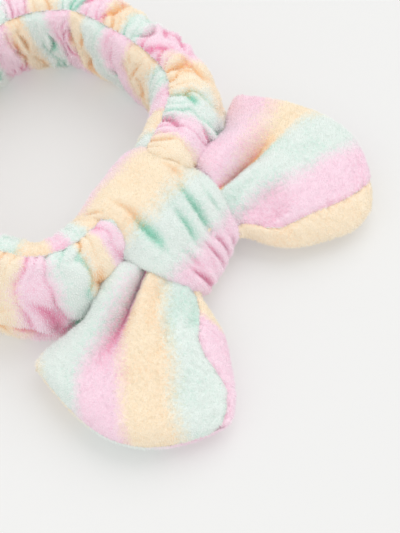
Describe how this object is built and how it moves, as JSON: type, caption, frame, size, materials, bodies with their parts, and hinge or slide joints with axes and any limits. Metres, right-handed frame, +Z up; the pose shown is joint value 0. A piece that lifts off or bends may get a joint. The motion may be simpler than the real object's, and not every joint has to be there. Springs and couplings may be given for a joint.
{
  "type": "spa headband",
  "caption": "Soft plush spa headband: a gathered elastic band closed into a ring, with a large open bow of the same striped fabric held by a wide wrapped knot.",
  "frame": {"origin": "under the middle of the whole piece, at the level it rests on", "axes": "+Z up, the bow faces -Y and opens along X, the band's rear seam is on +Y"},
  "size_m": [0.2296, 0.2518, 0.056],
  "materials": {
    "plush": "striped pastel coral fleece",
    "thread": "matte sewing thread",
    "elastic": "woven elastic",
    "wadding": "polyester wadding"
  },
  "bodies": {
    "band": {"band_outer_panel": "plush", "band_inner_panel": "plush", "band_top_seam": "thread", "band_bottom_seam": "thread", "elastic_loop": "elastic", "knot_wrap": "plush", "knot_seam": "thread", "bow_core": "plush", "gather_thread": "thread"},
    "band_rear": {"band_rear_seam": "thread", "elastic_join": "elastic"},
    "left_wing": {"left_wing_front": "plush", "left_wing_back": "plush", "left_wing_filling": "wadding", "left_wing_seam": "plush"},
    "right_wing": {"right_wing_front": "plush", "right_wing_back": "plush", "right_wing_filling": "wadding", "right_wing_seam": "plush"}
  },
  "joints": [
    {"name": "left_wing_lift", "type": "hinge", "parent": "band", "child": "left_wing", "pos_m": [-0.0252, -0.0643, 0.033], "axis": [-0.1799, 0.8987, 0.3999], "range_deg": [0, 50], "stiffness_Nm_per_rad": 0.01},
    {"name": "right_wing_lift", "type": "hinge", "parent": "band", "child": "right_wing", "pos_m": [0.0252, -0.0643, 0.033], "axis": [-0.1799, -0.8987, -0.3999], "range_deg": [0, 50], "stiffness_Nm_per_rad": 0.01},
    {"name": "band_stretch", "type": "slide", "parent": "band", "child": "band_rear", "axis": [0, 1, 0], "range_m": [0, 0.045], "stiffness_N_per_m": 60, "deforming": ["band_outer_panel", "band_inner_panel", "band_top_seam", "band_bottom_seam", "elastic_loop"]}
  ]
}
